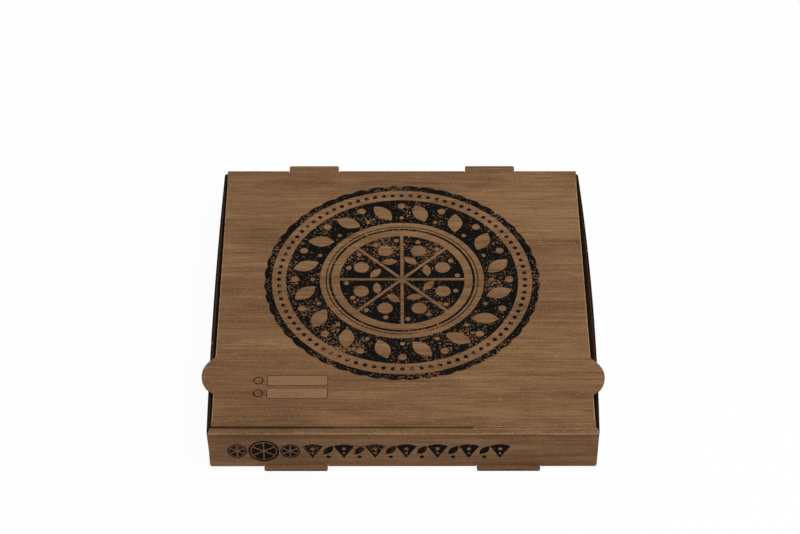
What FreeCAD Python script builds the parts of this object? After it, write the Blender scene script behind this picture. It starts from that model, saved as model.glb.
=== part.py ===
import FreeCAD, Part
import math
import os

from FreeCAD import Vector

os.makedirs("parts", exist_ok=True)

# A pizza box folded from one sheet of fine-flute corrugated board, closed.
# Millimetres. X runs from left to right, Y from front to back and Z up from the table.

# Whole box
box_width = 330.0           # outside, across the front wall
box_depth = 330.0           # outside, front wall to back wall
box_height = 41.0           # table to the top of the closed lid
board = 1.6                 # thickness of the board
fold_inside = 0.4           # radius on the inside of every fold
fold_edge = 0.6             # radius on the outside of a sharp fold
slit = 0.3                  # knife gap between neighbouring panels, and between lid and tray
flap_room = 0.4             # play between a tucked flap and the wall it lies along

# Front wall, rolled over itself
roll_depth = 7.7            # outer face to inner face of the double wall
bottom_corner = 2.0         # rounding of the front wall's two bottom corners
strip_taper = 4.2           # length of the slanted ends of the strip on top of the roll
lock_place = 90.4           # centre line of each lock slot from the middle of the box
lock_width = 54.4           # width of each lock slot's flap
lock_reach = 5.1            # how far the flap pushed out of the slot shows in front of the wall
lock_slant = 1.2            # how much narrower the flap gets at each end
lock_play = 1.0             # room beside the lock tab in its slot
flap_round = 1.8            # rounding of small tabs and flaps

# Side walls, which lean and bow outward at their top edge
left_lean_front = 1.3
left_lean_back = 0.8
left_bow = 2.9
left_bow_place = -30.0      # where along Y the left wall's bow is measured
right_lean_front = 0.6
right_lean_back = 0.0
right_bow = 4.0
right_bow_place = -20.0
front_corner_flap = 52.0    # length of the flap of the side wall inside the front roll
back_corner_flap = 30.0     # length of the flap of the side wall behind the back wall
corner_flap_round = 6.0

# Lid
front_gap_left = 1.3        # gap between the lid and the front roll at its left end
front_gap_right = 0.35
tuck_depth = 25.0           # front flap of the lid, tucked behind the front roll
tuck_lean = 5.0             # degrees that the tuck flap leans into the box
tuck_inset = 4.0            # tuck flap's end to the side of the lid
tuck_round = 8.0
side_flap_depth = 28.0      # side flaps of the lid, tucked inside the side walls
side_flap_front = 7.0       # lid's front edge to the start of the side flap
side_flap_back = 15.0       # hinge to the end of the side flap
side_flap_slant = 16.0      # how much shorter the side flap gets at each end
side_flap_round = 5.0
left_ear_place = -96.8      # centre of each half-round ear along Y
right_ear_place = -98.2
ear_radius = 26.0
ear_reach = 10.8            # how far an ear stands out from the lid's side
ear_root = 2.0              # radius where the ear runs into the side of the lid
back_tab_place = 82.2       # centre line of each back tab from the middle of the box
back_tab_width = 46.1
back_tab_reach = 6.7        # how far a back tab stands out behind the back wall

# Worked out from the sizes above
fold_outside = fold_inside + board     # outside of the rolled fold, and the room that any fold takes
half_width = box_width / 2
half_depth = box_depth / 2
half_board = board / 2
wall_top = box_height - board - slit
lid_half_width = half_width - board - flap_room
hinge_y = half_depth - half_board
hinge_z = box_height - half_board
roll_back = -half_depth + roll_depth
corner_flap_face = half_depth - board - flap_room
ear_centre = lid_half_width + ear_reach - ear_radius


def direction(start, end):
    """Unit vector from one point to another."""
    step = end - start
    return step / step.Length


def rounded_corner(before, corner, after, radius):
    """Start, middle and end of the arc that rounds one corner of an outline."""
    back = direction(corner, before)
    ahead = direction(corner, after)
    half_angle = back.getAngle(ahead) / 2
    to_centre = direction(Vector(), back + ahead)
    start = corner + back * (radius / math.tan(half_angle))
    end = corner + ahead * (radius / math.tan(half_angle))
    middle = corner + to_centre * (radius / math.sin(half_angle) - radius)
    return start, middle, end


def outline(corners, radii, bulges=None):
    """Closed wire through the corners, rounded by their radii, with bulged sides as arcs."""
    bulges = bulges or {}
    count = len(corners)
    rounds = []
    for index, corner in enumerate(corners):
        radius = radii[index]
        if radius:
            rounds.append(rounded_corner(corners[index - 1], corner, corners[(index + 1) % count], radius))
        else:
            rounds.append((corner, corner, corner))
    edges = []
    for index in range(count):
        start, middle, end = rounds[index]
        following = rounds[(index + 1) % count][0]
        if radii[index]:
            edges.append(Part.Arc(start, middle, end).toShape())
        if index in bulges:
            edges.append(Part.Arc(end, bulges[index], following).toShape())
        elif (following - end).Length > 1e-6:
            edges.append(Part.makeLine(end, following))
    return Part.Wire(edges)


def plate(corners, radii, thickness):
    """Solid made by pushing an outline through a thickness."""
    return Part.Face(outline(corners, radii)).extrude(thickness)


def folded_outline(route, along, bulge=None, rolled=None):
    """Outline of a strip of board centred on a route of corners, seen along its folds.

    A bulge is the middle point of the route's second leg, where that leg isn't straight.
    The rolled corner is round on its outside, and the others are sharp folds.
    """
    sides = {1: [], -1: []}
    radii = {1: [], -1: []}
    last = len(route) - 1
    for index, point in enumerate(route):
        arriving = direction(route[max(index, 1) - 1], route[max(index, 1)])
        leaving = direction(route[min(index, last - 1)], route[min(index, last - 1) + 1])
        first_normal = along.cross(arriving)
        second_normal = along.cross(leaving)
        spread = (first_normal + second_normal) / (1 + first_normal.dot(second_normal))
        turn = along.dot(arriving.cross(leaving))
        for side in sides:
            sides[side].append(point + spread * (side * half_board))
            if index in (0, last):
                radii[side].append(0)
            else:
                outside = fold_outside if index == rolled else fold_edge
                radii[side].append(fold_inside if side * turn > 0 else outside)
    corners = sides[1] + sides[-1][::-1]
    bulges = {}
    if bulge:
        normal = along.cross(direction(route[1], route[2]))
        bulges = {1: bulge + normal * half_board, last + 2: bulge - normal * half_board}
    return outline(corners, radii[1] + radii[-1][::-1], bulges)


def corner_waste(before, corner, after, radius, push):
    """What is cut away to round one corner of a flap."""
    start, middle, end = rounded_corner(before, corner, after, radius)
    edges = [
        Part.makeLine(corner, start),
        Part.Arc(start, middle, end).toShape(),
        Part.makeLine(end, corner),
    ]
    return Part.Face(Part.Wire(edges)).extrude(push)


def folded_strip(route, push, rolled=None):
    """Solid strip of board that follows a route of folds, pushed along the folds."""
    return Part.Face(folded_outline(route, direction(Vector(), push), rolled=rolled)).extrude(push)


def fuse(pieces):
    """One solid from pieces that touch."""
    return pieces[0].multiFuse(pieces[1:]).removeSplitter()


def base_panel():
    """Floor of the tray, up to where its folds begin."""
    width = 2 * (half_width - fold_outside)
    depth = 2 * (half_depth - fold_outside)
    return Part.makeBox(width, depth, board, Vector(-width / 2, -depth / 2, 0))


def side_fold(side):
    """Fold between the floor and a side wall."""
    x = side * (half_width - half_board)
    y = half_depth - fold_outside - slit
    route = [
        Vector(x - side * 2 * fold_outside, -y, half_board),
        Vector(x, -y, half_board),
        Vector(x, -y, fold_outside),
    ]
    return folded_strip(route, Vector(0, 2 * y, 0))


def side_wall_section(side, height, lean_front, lean_back, bow, bow_place):
    """Side wall with its two corner flaps, cut level at one height."""
    x_front = side * (half_width - half_board + lean_front)
    x_back = side * (half_width - half_board + lean_back)
    y = corner_flap_face - half_board
    route = [
        Vector(x_front - side * front_corner_flap, -y, height),
        Vector(x_front, -y, height),
        Vector(x_back, y, height),
        Vector(x_back - side * back_corner_flap, y, height),
    ]
    bulge = Vector(side * (half_width - half_board + bow), bow_place, height) if bow else None
    return folded_outline(route, Vector(0, 0, 1), bulge)


def side_wall(side, lean_front, lean_back, bow, bow_place):
    """Side wall and its corner flaps, straight at the floor and bowed at the top."""
    foot = side_wall_section(side, fold_outside, 0, 0, 0, 0)
    head = side_wall_section(side, wall_top, lean_front, lean_back, bow, bow_place)
    wall = Part.makeLoft([foot, head], True, True)
    for end, length, lean in ((-1, front_corner_flap, lean_front), (1, back_corner_flap, lean_back)):
        face = end * (corner_flap_face + slit)
        low = Vector(side * (half_width - half_board - length), face, fold_outside)
        high = low + Vector(side * lean, 0, wall_top - fold_outside)
        to_wall = Vector(side, 0, 0)
        push = Vector(0, -end * (board + 2 * slit), 0)
        wall = wall.cut(corner_waste(low, high, high + to_wall, corner_flap_round, push))
        wall = wall.cut(corner_waste(high, low, low + to_wall, corner_flap_round, push))
    return wall


def front_roll():
    """Front wall that folds over at the top and comes down again inside the tray."""
    front = -half_depth + half_board
    back = roll_back - half_board
    top = box_height - half_board
    route = [
        Vector(-half_width, -half_depth + 2 * fold_outside, half_board),
        Vector(-half_width, front, half_board),
        Vector(-half_width, front, top),
        Vector(-half_width, back, top),
        Vector(-half_width, back, board + slit),
    ]
    roll = folded_strip(route, Vector(box_width, 0, 0), rolled=2)
    return roll.common(front_roll_elevation()).common(front_roll_plan())


def front_roll_elevation():
    """Room that the front wall fills, seen from the front, with round bottom corners."""
    corners = [
        Vector(-half_width, -half_depth, 0),
        Vector(half_width, -half_depth, 0),
        Vector(half_width, -half_depth, box_height),
        Vector(-half_width, -half_depth, box_height),
    ]
    radii = [bottom_corner, bottom_corner, 0, 0]
    return plate(corners, radii, Vector(0, roll_depth, 0))


def front_roll_plan():
    """Room that the front roll fills, seen from above: full width outside, narrower inside."""
    inner = lid_half_width
    corners = [
        Vector(-half_width, -half_depth, 0),
        Vector(half_width, -half_depth, 0),
        Vector(half_width, roll_back - strip_taper, 0),
        Vector(inner, roll_back, 0),
        Vector(-inner, roll_back, 0),
        Vector(-half_width, roll_back - strip_taper, 0),
    ]
    return plate(corners, [0] * len(corners), Vector(0, 0, box_height))


def lock_slot(side):
    """Room cut out of the floor and the front fold for a lock tab and its pushed-out flap."""
    width = lock_width + 2 * slit
    start = Vector(side * lock_place - width / 2, -half_depth, 0)
    return Part.makeBox(width, roll_depth + slit, fold_outside, start)


def lock_flap(side):
    """Flap pushed out of a lock slot, folded forward flat on the table."""
    left = side * lock_place - lock_width / 2
    front = -half_depth - lock_reach
    route = [
        Vector(left, -half_depth + half_board, 2 * fold_outside),
        Vector(left, -half_depth + half_board, half_board),
        Vector(left, front, half_board),
    ]
    strip = folded_strip(route, Vector(lock_width, 0, 0))
    corners = [
        Vector(left, -half_depth + board, 0),
        Vector(left + lock_slant, front, 0),
        Vector(left + lock_width - lock_slant, front, 0),
        Vector(left + lock_width, -half_depth + board, 0),
    ]
    return strip.common(plate(corners, [0, flap_round, flap_round, 0], Vector(0, 0, box_height)))


def lock_tab(side):
    """Tab of the inner front wall that stands in a lock slot, clear of the table."""
    width = lock_width - 2 * lock_play
    start = Vector(side * lock_place - width / 2, roll_back - board, slit)
    return Part.makeBox(width, board, board + slit, start)


def back_wall():
    """Back wall, up to the fold that carries the lid."""
    y = half_depth - half_board
    route = [
        Vector(-lid_half_width, half_depth - 2 * fold_outside, half_board),
        Vector(-lid_half_width, y, half_board),
        Vector(-lid_half_width, y, wall_top),
    ]
    return folded_strip(route, Vector(2 * lid_half_width, 0, 0))


def vent_window(side):
    """Notch that a back tab of the lid leaves in the back wall, and turns through."""
    width = back_tab_width + 2 * slit
    swing = math.hypot(back_tab_reach + half_board, half_board)
    bottom = hinge_z - swing - slit
    start = Vector(side * back_tab_place - width / 2, half_depth - 2 * board, bottom)
    return Part.makeBox(width, 3 * board, box_height - bottom, start)


def make_tray():
    """Tray of the box: floor, walls, rolled front and the flaps that hold them."""
    pieces = [
        base_panel(),
        back_wall(),
        front_roll(),
        side_wall(-1, left_lean_front, left_lean_back, left_bow, left_bow_place),
        side_wall(1, right_lean_front, right_lean_back, right_bow, right_bow_place),
    ]
    for side in (-1, 1):
        pieces.append(side_fold(side))
    tray = fuse(pieces)
    for side in (-1, 1):
        tray = tray.cut(lock_slot(side)).cut(vent_window(side))
    for side in (-1, 1):
        tray = fuse([tray, lock_flap(side), lock_tab(side)])
    return tray


def lid_front(side):
    """Y of the lid's front edge at its left (-1) or right (1) end."""
    gap = front_gap_left if side < 0 else front_gap_right
    return roll_back + gap


def lid_panel():
    """Top of the lid, up to where its folds begin, with a round back edge on the hinge line."""
    x = lid_half_width - fold_outside
    corners = [
        Vector(-x, lid_front(-1) + fold_outside, box_height - board),
        Vector(x, lid_front(1) + fold_outside, box_height - board),
        Vector(x, hinge_y, box_height - board),
        Vector(-x, hinge_y, box_height - board),
    ]
    return plate(corners, [0, 0, 0, 0], Vector(0, 0, board))


def hinge_edge():
    """Round back edge of the lid, centred on the hinge line, and the lid's two back corners."""
    start = Vector(-lid_half_width, hinge_y, hinge_z)
    edge = Part.makeCylinder(half_board, 2 * lid_half_width, start, Vector(1, 0, 0))
    depth = side_flap_back
    corner_strip = Part.makeBox(2 * lid_half_width, depth, board,
                                Vector(-lid_half_width, hinge_y - depth, box_height - board))
    return fuse([edge, corner_strip])


def front_corners():
    """The lid's two front corners, beside the tuck flap and a slit ahead of the side flaps."""
    depth = side_flap_front - slit
    corners = [
        Vector(-lid_half_width, lid_front(-1) + fold_outside, box_height - board),
        Vector(lid_half_width, lid_front(1) + fold_outside, box_height - board),
        Vector(lid_half_width, lid_front(1) + depth, box_height - board),
        Vector(-lid_half_width, lid_front(-1) + depth, box_height - board),
    ]
    return plate(corners, [0, 0, 0, 0], Vector(0, 0, board))


def back_tab(side):
    """Tab of the lid that stands out behind the back wall."""
    left = side * back_tab_place - back_tab_width / 2
    right = left + back_tab_width
    tip = half_depth + back_tab_reach
    z = box_height - board
    corners = [
        Vector(left, hinge_y - board, z),
        Vector(right, hinge_y - board, z),
        Vector(right, tip, z),
        Vector(left, tip, z),
    ]
    return plate(corners, [0, 0, flap_round, flap_round], Vector(0, 0, board))


def ear_place(side):
    """Centre line of the left (-1) or right (1) ear."""
    return left_ear_place if side < 0 else right_ear_place


def ear_root_half():
    """Half the length of an ear where it runs into the side of the lid."""
    return math.sqrt((ear_radius + ear_root) ** 2 - (lid_half_width + ear_root - ear_centre) ** 2)


def ear(side):
    """Half-round ear in the plane of the lid, over the side wall."""
    z = box_height - board
    half = ear_root_half()
    share = ear_radius / (ear_radius + ear_root)
    meeting = Vector(ear_centre + (lid_half_width + ear_root - ear_centre) * share, half * share, 0)
    root_centre = Vector(lid_half_width + ear_root, half, 0)
    root_middle = root_centre + direction(root_centre, Vector(lid_half_width, half * share, 0)) * ear_root

    def place(point, end):
        return Vector(side * point.x, ear_place(side) + end * point.y, z)

    inner = Vector(lid_half_width - fold_outside - slit, half, 0)
    edge = Vector(lid_half_width, half, 0)
    tip = Vector(lid_half_width + ear_reach, 0, 0)
    edges = [
        Part.makeLine(place(inner, -1), place(edge, -1)),
        Part.Arc(place(edge, -1), place(root_middle, -1), place(meeting, -1)).toShape(),
        Part.Arc(place(meeting, -1), place(tip, -1), place(meeting, 1)).toShape(),
        Part.Arc(place(meeting, 1), place(root_middle, 1), place(edge, 1)).toShape(),
        Part.makeLine(place(edge, 1), place(inner, 1)),
        Part.makeLine(place(inner, 1), place(inner, -1)),
    ]
    return Part.Face(Part.Wire(edges)).extrude(Vector(0, 0, board))


def side_flap(side):
    """Side flap of the lid, with the half-round notch that its ear was cut from."""
    front = lid_front(side) + side_flap_front
    back = hinge_y - side_flap_back
    x = side * (lid_half_width - half_board)
    bottom = box_height - side_flap_depth
    route = [
        Vector(x - side * 2 * fold_outside, front, box_height - half_board),
        Vector(x, front, box_height - half_board),
        Vector(x, front, bottom),
    ]
    strip = folded_strip(route, Vector(0, back - front, 0))
    shoulder = box_height - fold_outside
    corners = [
        Vector(0, front, box_height),
        Vector(0, back, box_height),
        Vector(0, back, shoulder),
        Vector(0, back - side_flap_slant, bottom),
        Vector(0, front + side_flap_slant, bottom),
        Vector(0, front, shoulder),
    ]
    radii = [0, 0, 0, side_flap_round, side_flap_round, 0]
    return strip.common(plate(corners, radii, Vector(side * half_width, 0, 0))).cut(ear_notch(side))


def ear_notch(side):
    """Room that an ear leaves in the fold and the side flap below it."""
    x = side * (lid_half_width - fold_outside)
    push = Vector(side * 2 * fold_outside, 0, 0)
    half = ear_root_half()
    drop = lid_half_width - ear_centre
    round_part = Part.makeCylinder(ear_radius + slit, push.Length,
                                   Vector(x, ear_place(side), hinge_z + drop), push)
    corners = [
        Vector(x, ear_place(side) - half, box_height - fold_outside),
        Vector(x, ear_place(side) + half, box_height - fold_outside),
        Vector(x, ear_place(side) + half, box_height),
        Vector(x, ear_place(side) - half, box_height),
    ]
    return fuse([round_part, plate(corners, [0, 0, 0, 0], push)])


def tuck_flap():
    """Front flap of the lid, tucked behind the front roll and leaning into the box."""
    left = Vector(-lid_half_width, lid_front(-1) + half_board, hinge_z)
    right = Vector(lid_half_width, lid_front(1) + half_board, hinge_z)
    edge = direction(left, right)
    inward = Vector(-edge.y, edge.x, 0)
    lean = math.radians(tuck_lean)
    down = inward * math.sin(lean) - Vector(0, 0, math.cos(lean))
    route = [left + inward * (2 * fold_outside), left, left + down * (tuck_depth - half_board)]
    strip = folded_strip(route, right - left)
    bottom = box_height - tuck_depth
    shoulder = box_height - fold_outside
    inner = lid_half_width - tuck_inset
    corners = [
        Vector(-lid_half_width, 0, box_height),
        Vector(-lid_half_width, 0, shoulder),
        Vector(-inner, 0, shoulder),
        Vector(-inner, 0, bottom),
        Vector(inner, 0, bottom),
        Vector(inner, 0, shoulder),
        Vector(lid_half_width, 0, shoulder),
        Vector(lid_half_width, 0, box_height),
    ]
    radii = [0, 0, 0, tuck_round, tuck_round, 0, 0, 0]
    return strip.common(plate(corners, radii, Vector(0, -half_depth, 0)))


def make_lid():
    """Lid of the box with the flaps, ears and tabs that are folded from it."""
    pieces = [lid_panel(), hinge_edge(), front_corners(), tuck_flap()]
    for side in (-1, 1):
        pieces += [side_flap(side), ear(side), back_tab(side)]
    return fuse(pieces)


make_tray().exportStep("parts/tray.step")
make_lid().exportStep("parts/lid.step")
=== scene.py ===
import math

import bmesh
import bpy
from bpy.props import FloatProperty, FloatVectorProperty, IntProperty, PointerProperty
from mathutils import Matrix, Vector


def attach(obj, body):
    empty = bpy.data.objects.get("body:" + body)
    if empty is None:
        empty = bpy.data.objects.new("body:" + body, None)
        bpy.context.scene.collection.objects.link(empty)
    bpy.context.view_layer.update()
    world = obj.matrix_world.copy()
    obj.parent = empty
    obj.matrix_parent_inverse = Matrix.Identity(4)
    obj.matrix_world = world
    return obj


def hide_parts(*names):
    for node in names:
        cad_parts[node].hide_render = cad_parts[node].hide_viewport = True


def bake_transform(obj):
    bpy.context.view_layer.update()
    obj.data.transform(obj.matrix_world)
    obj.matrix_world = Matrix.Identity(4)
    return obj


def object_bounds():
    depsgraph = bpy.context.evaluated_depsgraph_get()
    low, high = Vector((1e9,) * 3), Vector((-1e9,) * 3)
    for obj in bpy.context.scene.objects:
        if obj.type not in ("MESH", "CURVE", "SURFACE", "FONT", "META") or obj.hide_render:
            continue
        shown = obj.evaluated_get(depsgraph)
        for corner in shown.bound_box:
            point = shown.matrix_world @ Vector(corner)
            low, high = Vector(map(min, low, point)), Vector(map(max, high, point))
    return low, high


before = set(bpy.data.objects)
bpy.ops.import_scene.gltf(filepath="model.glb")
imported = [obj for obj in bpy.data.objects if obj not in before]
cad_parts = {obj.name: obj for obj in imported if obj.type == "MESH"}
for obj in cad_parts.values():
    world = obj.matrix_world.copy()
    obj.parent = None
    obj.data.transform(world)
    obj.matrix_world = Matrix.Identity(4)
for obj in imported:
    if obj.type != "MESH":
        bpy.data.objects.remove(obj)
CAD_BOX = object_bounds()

bl_info = {
    "name": "Pizza Box",
    "version": (1, 0, 0),
    "blender": (4, 5, 0),
    "location": "3D View > Sidebar > Pizza Box",
    "description": "Folds a kraft pizza box from fluted board, prints it and lights it",
    "category": "Add Mesh",
}

# Places that the folds, slots and flaps share, in metres. X runs to the right along the
# front wall, Y from the front wall to the hinge and Z up from the table.
WALL = 0.1642                # middle of the board of every wall
OUTER = 0.165                # outer face of the front wall and of the walls' feet
LID_HALF = 0.163             # half the width of the lid and of the back wall
LOCK_PLACE = 0.0904          # centre line of each lock slot
LOCK_HALF = 0.0272           # half the width of a lock flap
LOCK_SLIT = 0.0003           # cut at each side of a lock flap
TAB_HALF = 0.0262            # half the width of a lock tab
TAB_DEPTH = 0.0016           # how far a lock tab reaches below the inner front wall
INNER_FOOT = 0.0019          # lower edge of the inner front wall
SLOT_LINE = -0.157           # the floor's scored line behind the front roll
BAND_BELOW = 0.0024          # stretches of the roll: below its rounded edge, painted darker,
BAND_BEHIND = 0.0015         # behind that edge
BAND_BY_GAP = 0.0010         # and beside the gap, painted with the gap's shade
VENT_HALF = 0.02335          # half the width of a vent notch
VENT_FLOOR = 0.03236         # lower edge of the vent notches
CORNER_FLAP_Y = 0.1622       # middle of the board of a side wall's corner flaps
FOOT = 0.002                 # the walls stand straight up to here
FRONT_CORNER_FLAP = 0.052    # length of the corner flaps inside the front roll
BACK_CORNER_FLAP = 0.030     # length of the corner flaps inside the back wall
EAR_PLACE = {-1: -0.0968, 1: -0.0982}    # centre line of the left and right ear
EAR_ROOT = 0.002             # size of the hollow where an ear meets the side of the lid
BACK_TAB_PLACE = 0.0822      # centre line of each back tab
BACK_TAB_HALF = 0.02305      # half the width of a back tab
FLAP_SLOPE = 0.016           # how far the ends of a side flap slant
TUCK_BEND = 0.0012           # depth of the bend above the lid's front flap
TUCK_HALF = 0.159            # half the width of the lid's front flap
LID_START = -0.1555          # front edge of the lid before it is slanted
TIP_ROUNDING = 0.0018        # radius at the tips of the lock flaps and back tabs
FLUTE_PITCH = 0.0033         # one wave of the fluted paper in 1.6 mm board
STAMP_CENTRE = (-0.0005, 0.0208)
FIELD_MIDDLE = -0.0909       # writing fields and their dots, along X and then along Y
FIELD_DOT = -0.1245
FIELD_ROWS = (-0.1029, -0.1177)
INK_LIFT = 0.00003           # ink lies this far above the board
SLACK = 1e-5                 # points this far past a limit still count
MEETING = 2e-5               # points this close lie on each other
# Darker and paler patches of the paper, as middle, radius and weight.
PATCHES = (
    ((-0.118, -0.137, 0.041), 0.052, -0.22),
    ((-0.165, -0.104, 0.041), 0.034, -0.18),
    ((-0.128, 0.066, 0.041), 0.034, -0.12),
    ((0.125, 0.125, 0.041), 0.070, 0.12),
)
CAMERA_PLACE = (-0.0126, -1.5550, 1.6036)
CAMERA_YAW = 0.3716
CAMERA_DROP = 44.476
CAMERA_ROLL = 0.238
CAMERA_LENS = 111.46
SENSOR = 36
FLOOR_GLOW = 0.94            # share of plain white in the floor as the camera sees it


def distance(name, description, default, low, high):
    """A length in metres that a user can change."""
    return FloatProperty(
        name=name, description=description, default=default, min=low, max=high, unit="LENGTH")


class BoxSizes(bpy.types.PropertyGroup):
    """Sizes of the folded box."""

    board: distance("Board", "Thickness of the fluted board", 0.0016, 0.0008, 0.004)
    roll_bend: distance(
        "Rolled edge", "Radius of the front roll's edge at the middle of the board",
        0.0012, 0.0008, 0.004)
    crease: distance("Crease", "Radius on the outside of a sharp fold", 0.0006, 0.0002, 0.001)
    height: distance("Height", "Table to the top of the closed lid", CAD_BOX[1][2], 0.03, 0.08)
    roll_depth: distance(
        "Front roll", "Outer face to inner face of the double front wall",
        0.0077, 0.005, 0.015)
    gap_left: distance(
        "Front gap, left", "Gap between the lid and the front roll at its left end",
        0.0013, 0.0, 0.004)
    gap_right: distance(
        "Front gap, right", "Gap between the lid and the front roll at its right end",
        0.00035, 0.0, 0.004)
    tuck_depth: distance("Tuck flap", "Depth of the lid's front flap", 0.025, 0.01, 0.035)
    side_flap_depth: distance("Side flap", "Depth of the lid's side flaps", 0.028, 0.015, 0.037)
    ear_radius: distance("Ear radius", "Radius of the half-round ears of the lid", 0.026, 0.015, 0.04)
    ear_reach: distance(
        "Ear reach", "How far an ear stands out from the side of the lid",
        0.01075, 0.004, 0.02)
    back_tab_reach: distance(
        "Back tab reach", "How far a back tab stands out behind the back wall",
        0.0067, 0.0, 0.012)
    lock_reach: distance(
        "Lock flap reach", "How far a lock flap lies out in front of the wall",
        0.0051, 0.002, 0.0075)
    bow_left: distance(
        "Bow, left", "How far the top of the left wall bows out in its middle",
        0.0029, 0.0, 0.006)
    bow_right: distance(
        "Bow, right", "How far the top of the right wall bows out in its middle",
        0.0040, 0.0, 0.006)
    roll_steps: IntProperty(
        name="Roll steps", description="Faces round the front roll's edge",
        default=10, min=3, max=24)


def linear(code):
    """Linear colour of an sRGB hex code."""
    parts = [int(code[place:place + 2], 16) / 255 for place in (0, 2, 4)]
    return [part / 12.92 if part <= 0.04045 else ((part + 0.055) / 1.055) ** 2.4 for part in parts]


def colour(name, description, code):
    """A colour that a user can change, given as an sRGB hex code."""
    return FloatVectorProperty(
        name=name, description=description, default=linear(code), subtype="COLOR", min=0, max=1)


class BoardColours(bpy.types.PropertyGroup):
    """Colours of the paper and the ink."""

    kraft: colour("Kraft", "Brown of the liner paper", "795839")
    kraft_dark: colour("Dark fibre", "Darker streaks in the liner", "61442A")
    kraft_light: colour("Light fibre", "Lighter streaks in the liner", "8F6C49")
    kraft_red: colour("Red fibre", "Reddish bands in the liner", "7F573B")
    hair: colour("Hair line", "Thin dark lines in the liner", "5C4129")
    speck: colour("Speck", "Pale fibre specks in the liner", "A98A68")
    # Painted highlight and rubbed wear: the pale that the rounded folds get where they catch the light.
    worn: colour("Worn fold", "Paper that is rubbed pale along the folds", "B8946F")
    # Painted shade in the gap between the lid and the front roll, and the darker bands along the roll's
    # rounded edge.
    crease: colour("Crease", "Pressed line along a fold", "3A2513")
    flute: colour("Flute", "Waved paper between the liners", "765840")
    # Painted shade: the hollows of a cut edge are coloured dark as the shade inside them.
    hollow_shade: colour("Hollow", "Dark hollows between the waves", "35261A")
    # Painted shade: Shaded flute and Shaded hollow colour the cut edges of the side walls and of the
    # lid's side flaps near black, as the shade of the gap beside the lid; Nick is torn liner on them.
    shaded: colour("Shaded flute", "Waved paper deep in the top edges of the side walls", "1C140E")
    nick: colour("Nick", "Torn liner on the top edges of the side walls", "A09284")
    shaded_hollow: colour("Shaded hollow", "Hollows in the top edges of the side walls", "070504")
    ink: colour("Ink", "Printing ink", "090807")
    label: colour("Writing field", "Paler print of the writing fields", "8F6D4E")


class StudioLevels(bpy.types.PropertyGroup):
    """Light and floor of the studio."""

    sky: FloatProperty(
        name="Sky", description="Strength of the even light from all sides",
        default=0.44, min=0.0, max=2.0)
    key: FloatProperty(
        name="Key", description="Power of the soft lamp above the box, in watts",
        default=25.5, min=0.0, max=500.0)
    floor: colour("Floor", "Colour of the studio floor", "F4F4F4")


def clear_selection():
    """Leaves edit mode with nothing selected."""
    if bpy.context.mode != "OBJECT":
        bpy.ops.object.mode_set(mode="OBJECT")
    bpy.ops.object.select_all(action="DESELECT")


def select_only(piece):
    """Makes one object the selected and active one."""
    clear_selection()
    piece.select_set(True)
    bpy.context.view_layer.objects.active = piece


def open_whole(piece):
    """Opens one object in edit mode with all of it selected."""
    select_only(piece)
    bpy.ops.object.mode_set(mode="EDIT")
    bpy.ops.mesh.select_all(action="SELECT")


def start_sheet(name, low, high, height):
    """A flat sheet between two corners at one height, open in edit mode."""
    clear_selection()
    middle = ((low[0] + high[0]) / 2, (low[1] + high[1]) / 2, height)
    bpy.ops.mesh.primitive_plane_add(size=1, location=middle)
    piece = bpy.context.object
    piece.name = name
    piece.data.name = name
    piece.scale = (high[0] - low[0], high[1] - low[1], 1)
    bpy.ops.object.transform_apply(location=True, rotation=True, scale=True)
    bpy.ops.object.mode_set(mode="EDIT")
    return piece


def score(axis, places):
    """Cuts a line right across the sheet at each place along an axis."""
    normal = [0, 0, 0]
    normal[axis] = 1
    for place in places:
        bpy.ops.mesh.select_all(action="SELECT")
        bpy.ops.mesh.bisect(plane_co=Vector(normal) * place, plane_no=normal, threshold=1e-6)


def pick(piece, kind, test=None, **places):
    """Selects the vertices, edges or faces that are at the given places and pass a test.

    A place is one coordinate that every point of the item has, such as z=0.04. A face counts
    by its middle alone.
    """
    bpy.ops.mesh.select_mode(type=kind)
    bpy.ops.mesh.select_all(action="DESELECT")
    mesh = bmesh.from_edit_mesh(piece.data)
    groups = {"VERT": mesh.verts, "EDGE": mesh.edges, "FACE": mesh.faces}
    count = 0
    for item in groups[kind]:
        ends = [item.co] if kind == "VERT" else [vertex.co for vertex in item.verts]
        middle = sum(ends, Vector()) / len(ends)
        points = [middle] if kind == "FACE" else ends + [middle]
        at_places = all(close(getattr(point, axis), place)
                        for point in points for axis, place in places.items())
        if at_places and (test is None or all(test(point) for point in points)):
            item.select_set(True)
            count += 1
    mesh.select_flush_mode()
    bmesh.update_edit_mesh(piece.data)
    if not count:
        raise RuntimeError(f"{piece.name}: nothing to pick")


def close(value, place):
    """True where a coordinate is at a place."""
    return abs(value - place) < MEETING


def fold(centre, axis, degrees, steps):
    """Carries the picked edges round a fold, with curved board behind them."""
    bpy.ops.mesh.spin(steps=steps, angle=math.radians(degrees), center=centre, axis=axis)


def push(x, y, z):
    """Carries the picked edges along a straight stretch of board."""
    bpy.ops.mesh.extrude_region_move(TRANSFORM_OT_translate={"value": (x, y, z)})


def cut_out(piece, test):
    """Removes the faces whose middles pass a test."""
    pick(piece, "FACE", test)
    bpy.ops.mesh.delete(type="FACE")


def round_off(piece, reach, test=None, steps=8, **places):
    """Rounds the corners that are at the given places and pass a test."""
    pick(piece, "VERT", test, **places)
    bpy.ops.mesh.bevel(offset=reach, segments=steps, affect="VERTICES")


def move_points(piece, change):
    """Moves every point of the open sheet to where a rule puts it."""
    mesh = bmesh.from_edit_mesh(piece.data)
    for vertex in mesh.verts:
        vertex.co = change(vertex.co.copy())
    bmesh.update_edit_mesh(piece.data)


def use_upright_liner(piece, test):
    """Marks the faces whose height passes a test for the liner with upright fibres."""
    mesh = bmesh.from_edit_mesh(piece.data)
    for face in mesh.faces:
        if test(face.calc_center_median().z):
            face.material_index = 3
    bmesh.update_edit_mesh(piece.data)


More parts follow.
